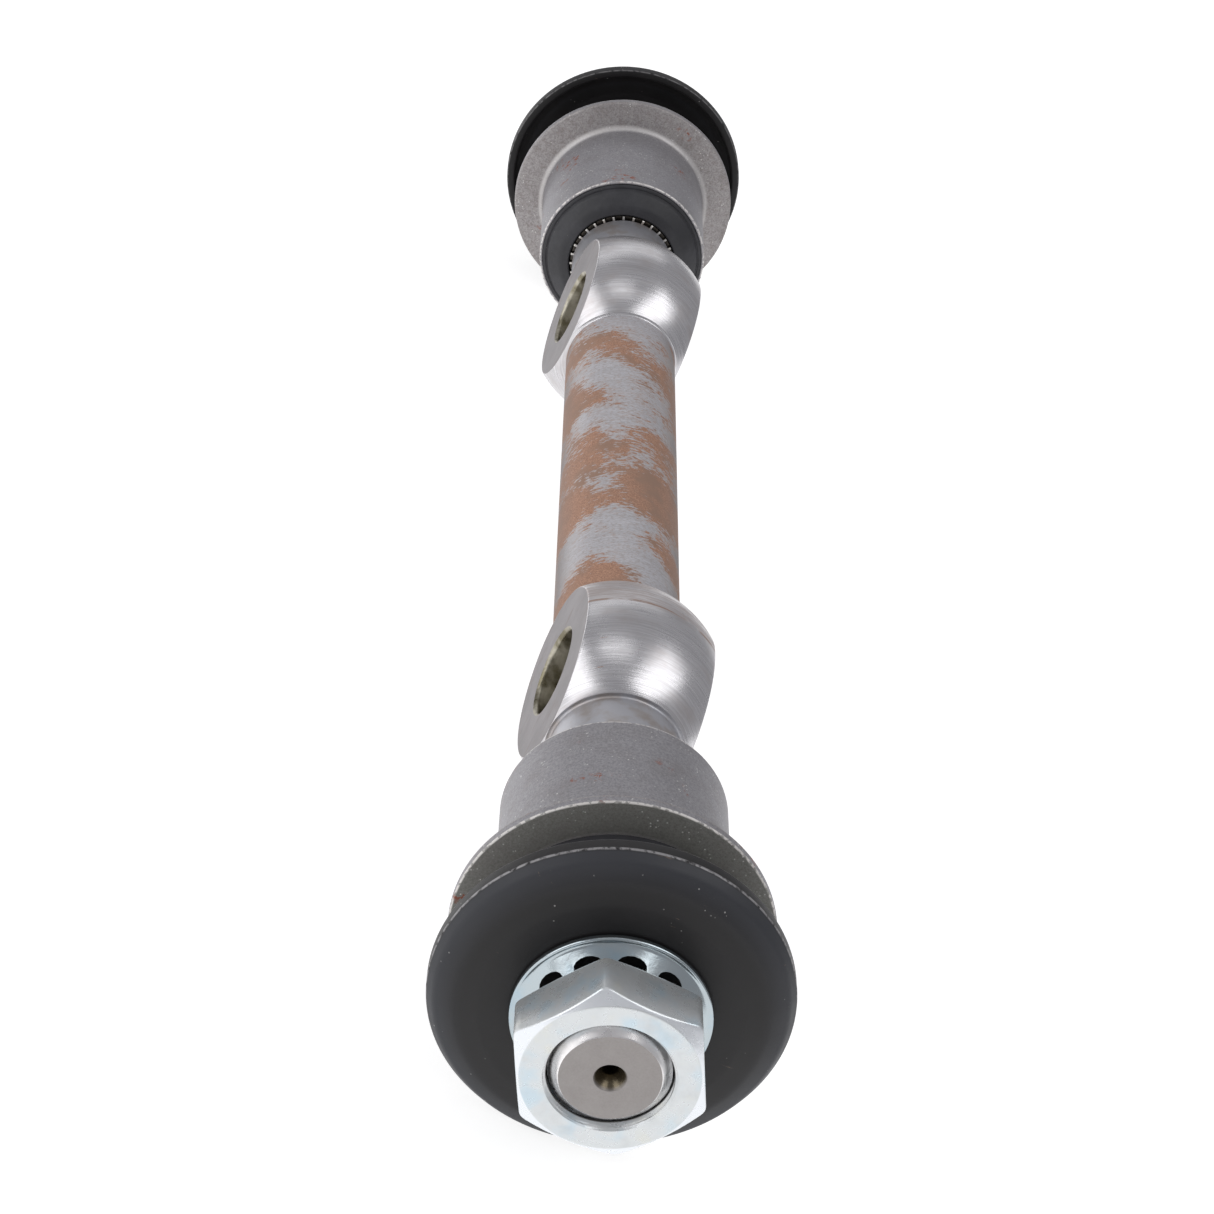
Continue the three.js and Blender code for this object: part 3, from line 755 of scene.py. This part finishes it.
def half_shaft(side):
    """Rings and zones from the middle of the shaft out to one end."""
    rows = []
    for k in range(BAR_ROWS):
        rows.append((MIDDLE_RADIUS, BOSS_START * k / BAR_ROWS, BAR))
    rows.append((MIDDLE_RADIUS, BAR_FILLET_START, BAR))
    for k in range(1, FILLET_ROWS + 1):
        angle = math.pi / 2 * k / FILLET_ROWS
        radius = MIDDLE_RADIUS + BAR_FILLET * (1 - math.cos(angle))
        rows.append((radius, BAR_FILLET_START + BAR_FILLET * math.sin(angle), BOSS))
    rows.append((BOSS_END_RADIUS - 0.25, BOSS_START - 0.15, BOSS))
    rows.append((BOSS_END_RADIUS - 0.03, BOSS_START + 0.05, BOSS))
    for k in range(1, BOSS_ROWS):
        y = BOSS_START + (BOSS_END - BOSS_START) * k / BOSS_ROWS
        rows.append((boss_radius(y), y, BOSS))
    rows.append((BOSS_END_RADIUS - 0.03, BOSS_END - 0.05, BOSS))
    rows.append((BOSS_END_RADIUS - 0.2, BOSS_END + 0.08, BOSS))
    for k in range(FILLET_ROWS + 1):
        angle = math.pi / 2 * k / FILLET_ROWS
        radius = JOURNAL_RADIUS + JOURNAL_FILLET * (1 - math.sin(angle))
        rows.append((radius, BOSS_END + 0.1 + JOURNAL_FILLET * (1 - math.cos(angle)), JOURNAL))
    rows.append((JOURNAL_RADIUS, SHOULDER - 0.5, JOURNAL))
    rows.append((JOURNAL_RADIUS - 0.3, SHOULDER, JOURNAL))
    rows.append((SEAT_RADIUS, SHOULDER, JOURNAL))
    rows.append((SEAT_RADIUS, SEAT_END, JOURNAL))
    rings = [(shaft_ring(r, y * side), zone) for r, y, zone in rows]
    y = RELIEF
    while y < SHAFT_END - 0.12:
        rings.append((thread_ring(y, side), THREAD))
        y += THREAD_PITCH / THREAD_ROWS
    rings.append((thread_ring(SHAFT_END - 0.1, side), THREAD))
    ends = [
        (END_FACE_RADIUS - 0.05, SHAFT_END), (6.0, SHAFT_END), (4.0, SHAFT_END),
        (CENTRE_HOLE_MOUTH, SHAFT_END), (CENTRE_HOLE_MOUTH - 0.1, SHAFT_END - 0.1),
        (CENTRE_HOLE_RADIUS, SHAFT_END - 2.2), (CENTRE_HOLE_RADIUS, SHAFT_END - 9.0), (0.2, SHAFT_END - 9.6),
    ]
    rings += [(shaft_ring(r, y * side), END) for r, y in ends]
    return rings


def cut_bolt_hole(shaft, side):
    """Drills a boss through its pads, with a rounded countersink at both ends of the hole."""
    out = FLAT_OFFSET + 3
    lip = 0.55
    corners = [
        (0.3, -out), (BOLT_HOLE_RADIUS + lip + 3, -out),
        (BOLT_HOLE_RADIUS + lip + 0.02, -FLAT_OFFSET - 0.015),
        (BOLT_HOLE_RADIUS + 0.22, -FLAT_OFFSET + 0.25),
        (BOLT_HOLE_RADIUS + 0.05, -FLAT_OFFSET + 0.5),
        (BOLT_HOLE_RADIUS, -FLAT_OFFSET + 0.8),
    ]
    corners += [(r, -x) for r, x in reversed(corners)]
    angles = [2 * math.pi * (k + 0.5) / HOLE_POINTS for k in range(HOLE_POINTS)]
    middle = side * BOSS_CENTRE
    rings = [[(x, middle + r * math.cos(a), r * math.sin(a)) for a in angles] for r, x in corners]
    cutter = build("hole_cutter", rings, FINISHES["shaft"], loop=False, zones=lambda i, k: HOLE)
    apply_cut(shaft, cutter)


def make_shaft():
    """The whole bar as one mesh, with its two bolt holes cut and a material for each zone."""
    far = half_shaft(1)
    near = half_shaft(-1)
    rows = list(reversed(near[1:])) + far
    rings = [ring for ring, _ in rows]

    def zone(i, k):
        """The material of one face: a pad where it lies flat, else its rings' later zone."""
        here = rows[i][1]
        ahead = rows[i + 1][1]
        if BOSS in (here, ahead) and here != BAR and ahead != BAR:
            xs = [rings[i][k][0], rings[i + 1][k][0]]
            on_pad = 1e-6
            if all(abs(abs(x) - FLAT_OFFSET) < on_pad for x in xs):
                return FLAT
        return max(here, ahead) if here != ahead else here

    shaft = build("shaft_body", rings, FINISHES["shaft"], loop=False, zones=zone)
    for side in (-1, 1):
        cut_bolt_hole(shaft, side)
    smooth(shaft, 30)
    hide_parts("shaft")
    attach(shaft, "shaft_core")


# ---- Bushings ----

def make_outer_sleeve(end, side):
    """Pressed sleeve with a flange, rounded where the two meet."""
    corners = [
        (SLEEVE_BORE, SLEEVE_START + 0.4, 0.1), (SLEEVE_RADIUS - 0.65, SLEEVE_START + 0.4, 0.1),
        (SLEEVE_RADIUS - 0.6, SLEEVE_START, 0.1), (SLEEVE_RADIUS, SLEEVE_START, 0.3),
        (SLEEVE_RADIUS, FLANGE_BACK, 1.7), (FLANGE_RADIUS, FLANGE_BACK, 0.45),
        (FLANGE_RADIUS, FLANGE_FRONT, 0.35), (SLEEVE_BORE, FLANGE_FRONT, 2.0),
    ]
    piece = turned(f"{end}_sleeve_shell", corners, side, FINISHES["outer_sleeve"])
    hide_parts(f"{end}_outer_sleeve")
    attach(piece, f"{end}_bushing")


def make_rubber(end, side):
    """Rubber ring with a thin lip over the sleeve's end and a collar outside its flange."""
    corners = [
        (12.25, 108.95, 0.1), (12.55, 108.8, 0.2), (14.4, 109.2, 3.0), (17.1, 111.3, 3.0),
        (17.5, 112.15, 0.3), (17.8, 112.0, 0.2), (18.4, 112.15, 0.3), (18.35, 112.75, 0.1),
        (16.95, 112.75, 0.1), (16.95, 143.4, 2.0), (19.6, 146.1, 0.8), (21.0, 147.0, 0.8),
        (20.9, 153.0, 3.0), (17.5, 156.55, 3.0), (12.4, 156.55, 0.5),
    ]
    piece = turned(f"{end}_rubber_ring", corners, side, FINISHES["rubber"])
    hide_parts(f"{end}_rubber_bushing")
    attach(piece, f"{end}_bushing")


def make_inner_sleeve(end, side):
    """Spacer tube with radial teeth across both end faces."""
    teeth = 32
    per_tooth = 10        # points on each tooth and the notch beside it
    count = teeth * per_tooth
    depth = 0.75
    half_notch = 0.37     # as a share of a tooth's pitch
    steepness = 14.3      # of a notch's two walls
    bore, outside = 9.7, 12.06
    half = [(bore, 0.0, 1), (outside - 0.16, 0.0, 1), (outside - 0.01, 0.12, 1), (outside, 1.0, 0)]
    rows = [(radius, SPACER_START + y, inward) for radius, y, inward in half]
    rows += [(radius, SPACER_END - y, -inward) for radius, y, inward in reversed(half)]
    rings = []
    for radius, y, inward in rows:
        ring = []
        for k in range(count):
            angle = 2 * math.pi * k / count
            share = (k % per_tooth) / per_tooth
            notch = min(1.0, max(0.0, steepness * (half_notch - abs(share - 0.5))))
            along = side * (y + inward * depth * notch)
            ring.append((radius * math.cos(angle), along, radius * math.sin(angle)))
        rings.append(ring)
    piece = build(f"{end}_spacer_tube", rings, FINISHES["inner_sleeve"])
    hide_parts(f"{end}_inner_sleeve")
    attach(piece, "shaft_core")


# ---- Washers and nuts ----

def make_cup(end, side):
    """Dished washer: a flat round the bore, a shallow cone and a lip toward the bushing."""
    bore = 9.9
    inner_face = 162.4
    outer_face = 164.8
    corners = [
        (bore, inner_face, 0.2), (21.2, inner_face, 3.0), (24.6, 161.3, 2.0), (26.45, 160.1, 0.9),
        (26.55, CUP_LIP_END, 0.5), (CUP_RADIUS, CUP_LIP_END, 0.45), (CUP_RADIUS, CUP_BEND, 0.35),
        (27.3, 162.9, 2.0), (24.4, 164.2, 4.0), (20.5, outer_face, 6.0), (bore, outer_face, 0.4),
    ]
    piece = turned(f"{end}_cup_shell", corners, side, FINISHES["cup"], 256)
    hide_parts(f"{end}_cup_washer")
    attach(piece, "shaft_core")


def make_lock_washer(end, side):
    """Dished ring with round-ended slots between teeth that lean out to the nut."""
    corners = [
        (9.9, 168.9, 0.2), (11.1, 168.9, 0.6), (14.3, 165.25, 1.0), (15.62, 165.1, 0.3),
        (15.62, 166.3, 0.5), (14.8, 166.3, 1.0), (11.3, 170.1, 0.8), (9.9, 170.1, 0.25),
    ]
    washer = turned(f"{end}_tooth_washer", corners, side, FINISHES["lock_washer"])
    slots = 12
    first_slot = 100          # degrees
    half = math.radians(10.5)
    start, stop = 7.5, 12.7   # radii of a slot's straight sides
    end_height = 1.0          # of the round end beyond them
    end_points = 8
    for i in range(slots):
        middle = math.radians(first_slot + 360 // slots * i)
        outline = [(start, -half), (start, half), (stop, half)]
        for k in range(1, end_points):
            sweep = math.pi * k / end_points
            outline.append((stop + end_height * math.sin(sweep), half * math.cos(sweep)))
        outline.append((stop, -half))
        rings = []
        for y in (163.0, 172.0):
            ring = []
            for r, a in outline:
                ring.append((r * math.cos(middle + a), side * y, r * math.sin(middle + a)))
            rings.append(ring)
        cutter = build("slot_cutter", rings, FINISHES["lock_washer"], loop=False)
        apply_cut(washer, cutter)
    soften(washer, 0.12)
    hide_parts(f"{end}_lock_washer")
    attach(washer, f"{end}_nut_carriage")


def hex_radius(angle):
    """Distance from the axis to the nut's side, with its corners slightly rounded."""
    sixth = math.pi / 3
    local = (angle % sixth) - sixth / 2
    reach = (NUT_ACROSS_FLATS / 2) / math.cos(abs(local))
    corner = (NUT_ACROSS_FLATS / 2) / math.cos(sixth / 2)
    limit = corner - 0.245    # how far the rounding takes a corner back
    soft = 0.25
    blend = min(1.0, max(0.0, (reach - (limit - soft)) / (2 * soft)))
    if blend == 0:
        return reach
    return min(reach, limit - soft + 2 * soft * (blend - 0.5 * blend * blend))


def make_nut(end, side):
    """Hex nut from rings that run over the front, down the sides, over the back and up the thread."""
    turn = math.radians(117)
    count = 240
    back_slope = 0.25         # the back's chamfer is shallower than the front's
    edge = 0.28               # the rounded edge between a chamfer and the sides
    edge_rows = ((edge, 0.0), (0.12, 0.13), (0.03, 0.28), (0.0, 0.5))
    thread_depth = 0.62
    thread_rows = 10          # rings for each turn of the thread
    mouth_slope = 0.9         # of the countersink at each end of the bore
    turns = [2 * math.pi * k / count for k in range(count)]

    def wall(k):
        return hex_radius(turns[k])

    def ring(radius_of, y_of):
        points = []
        for k in range(count):
            angle = turns[k] + turn
            r = radius_of(k)
            points.append((r * math.cos(angle), side * y_of(k), r * math.sin(angle)))
        return points

    def level(r, y):
        return ring(lambda k: r, lambda k: y)

    def run(k):
        """Length of the chamfer's cone, outward, at this point of the hexagon."""
        return wall(k) - edge - NUT_CHAMFER_RADIUS

    chamfer_front = NUT_FRONT - NUT_CHAMFER_DEPTH
    chamfer_back = NUT_BACK + NUT_CHAMFER_DEPTH
    rows = [
        level(NUT_MOUTH, NUT_FRONT),
        level(NUT_MOUTH + 0.25, NUT_FRONT),
        level(NUT_FACE_RADIUS - 0.25, NUT_FRONT),
        level(NUT_FACE_RADIUS, NUT_FRONT - 0.03),
        level(NUT_CHAMFER_RADIUS, chamfer_front),
    ]
    for t in (0.25, 0.5, 0.75):
        rows.append(ring(lambda k: NUT_CHAMFER_RADIUS + run(k) * t,
                         lambda k: chamfer_front - NUT_CHAMFER_SLOPE * run(k) * t))
    for inset, lower in edge_rows:
        rows.append(ring(lambda k: wall(k) - inset,
                         lambda k: chamfer_front - NUT_CHAMFER_SLOPE * run(k) - lower))
    for inset, lower in reversed(edge_rows):
        rows.append(ring(lambda k: wall(k) - inset,
                         lambda k: chamfer_back + back_slope * run(k) + lower))
    rows += [
        level(NUT_CHAMFER_RADIUS, chamfer_back),
        level(NUT_FACE_RADIUS, NUT_BACK + 0.03),
        level(NUT_FACE_RADIUS - 0.25, NUT_BACK),
        level(NUT_MOUTH, NUT_BACK),
    ]

    def bore_radius(y, angle):
        share = y / THREAD_PITCH - side * angle / (2 * math.pi)
        thread = NUT_BORE + thread_depth * thread_height(share)
        chamfer = NUT_MOUTH - min(y - NUT_BACK, NUT_FRONT - y) * mouth_slope
        return max(thread, chamfer)

    y = NUT_BACK + 0.1
    while y < NUT_FRONT - 0.1:
        rows.append(ring(lambda k: bore_radius(y, turns[k] + turn), lambda k: y))
        y += THREAD_PITCH / thread_rows
    piece = build(f"{end}_nut_body", rows, FINISHES["nut"], sharp=38)
    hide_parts(f"{end}_hex_nut")
    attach(piece, f"{end}_nut")


make_shaft()
for end, side in (("front", -1), ("rear", 1)):
    make_outer_sleeve(end, side)
    make_rubber(end, side)
    make_inner_sleeve(end, side)
    make_cup(end, side)
    make_lock_washer(end, side)
    make_nut(end, side)


# ---- Floor, light and camera ----

def tilted(x, y, z):
    """A direction or place given with the studio upright, turned about the shaft into the part's frame."""
    across = x * math.cos(LEAN) - z * math.sin(LEAN)
    return Vector((across, y, x * math.sin(LEAN) + z * math.cos(LEAN)))


def make_floor():
    """A pale floor that glows a little, so that the part's shadow on it stays faint."""
    f = Finish("floor_white")
    f.set(color=(0.50, 0.50, 0.50), metal=0.0, rough=0.9)
    f.shader.inputs["Emission Color"].default_value = (1, 1, 1, 1)
    f.shader.inputs["Emission Strength"].default_value = 0.82
    mesh = bpy.data.meshes.new("floor")
    reach = 5.0
    level = size_before[0].z - 0.0001
    sides = ((-reach, -reach), (reach, -reach), (reach, reach), (-reach, reach))
    mesh.from_pydata([(x, y, level) for x, y in sides], [], [(0, 1, 2, 3)])
    mesh.materials.append(f.material)
    floor = bpy.data.objects.new("floor", mesh)
    bpy.context.scene.collection.objects.link(floor)


def softbox(name, azimuth, elevation, distance, width, height, brightness):
    """A soft rectangular light aimed at the part, sized in metres.

    Azimuth 0 is behind the part and 90 on its right. Elevation is above the studio's level.
    """
    a, e = math.radians(azimuth), math.radians(elevation)
    arm = tilted(math.sin(a) * math.cos(e), math.cos(a) * math.cos(e), math.sin(e))
    light = bpy.data.lights.new(name, "AREA")
    light.shape = "RECTANGLE"
    light.size = width
    light.size_y = height
    light.energy = brightness * math.pi * width * height
    lamp = bpy.data.objects.new(name, light)
    lamp.location = arm * distance
    lamp.rotation_euler = arm.to_track_quat("Z", "Y").to_euler()
    bpy.context.scene.collection.objects.link(lamp)


def make_world():
    """An even grey studio all round."""
    world = bpy.data.worlds.new("studio")
    world.use_nodes = True
    background = world.node_tree.nodes["Background"]
    background.inputs["Color"].default_value = (0.50, 0.50, 0.52, 1)
    background.inputs["Strength"].default_value = 0.70
    bpy.context.scene.world = world


def make_camera():
    """Looks down along the shaft from in front of its front nut, in radians and metres."""
    camera = bpy.data.cameras.new("camera")
    camera.sensor_width = 36.0
    camera.lens = 88.09
    camera.shift_x = 0.0259
    camera.shift_y = -0.0107
    pitch, yaw, roll = 0.5379, -0.0176, 0.0032
    ahead = Vector((math.sin(yaw) * math.cos(pitch), math.cos(yaw) * math.cos(pitch), -math.sin(pitch)))
    level = ahead.cross(Vector((0, 0, 1))).normalized()
    upright = level.cross(ahead)
    right = level * math.cos(roll) + upright * math.sin(roll)
    up = upright * math.cos(roll) - level * math.sin(roll)
    columns = [tilted(*right), tilted(*up), tilted(*-ahead)]
    place = Matrix(columns).transposed().to_4x4()
    place.translation = tilted(0.00064, -0.52004, 0.2864)
    holder = bpy.data.objects.new("camera", camera)
    holder.matrix_world = place
    camera.clip_start = 0.02
    camera.clip_end = 30
    bpy.context.scene.collection.objects.link(holder)
    bpy.context.scene.camera = holder


make_floor()
make_world()
softbox("left_box", -108, 44, 1.2, 1.15, 0.72, 1.55)
softbox("right_box", 108, 44, 1.2, 1.15, 0.64, 1.6)
softbox("top_box", 0, 88, 1.2, 0.30, 0.60, 1.0)
softbox("back_box", 0, 31, 1.8, 1.7, 0.75, 0.50)
make_camera()
bpy.context.scene.view_settings.view_transform = "Standard"
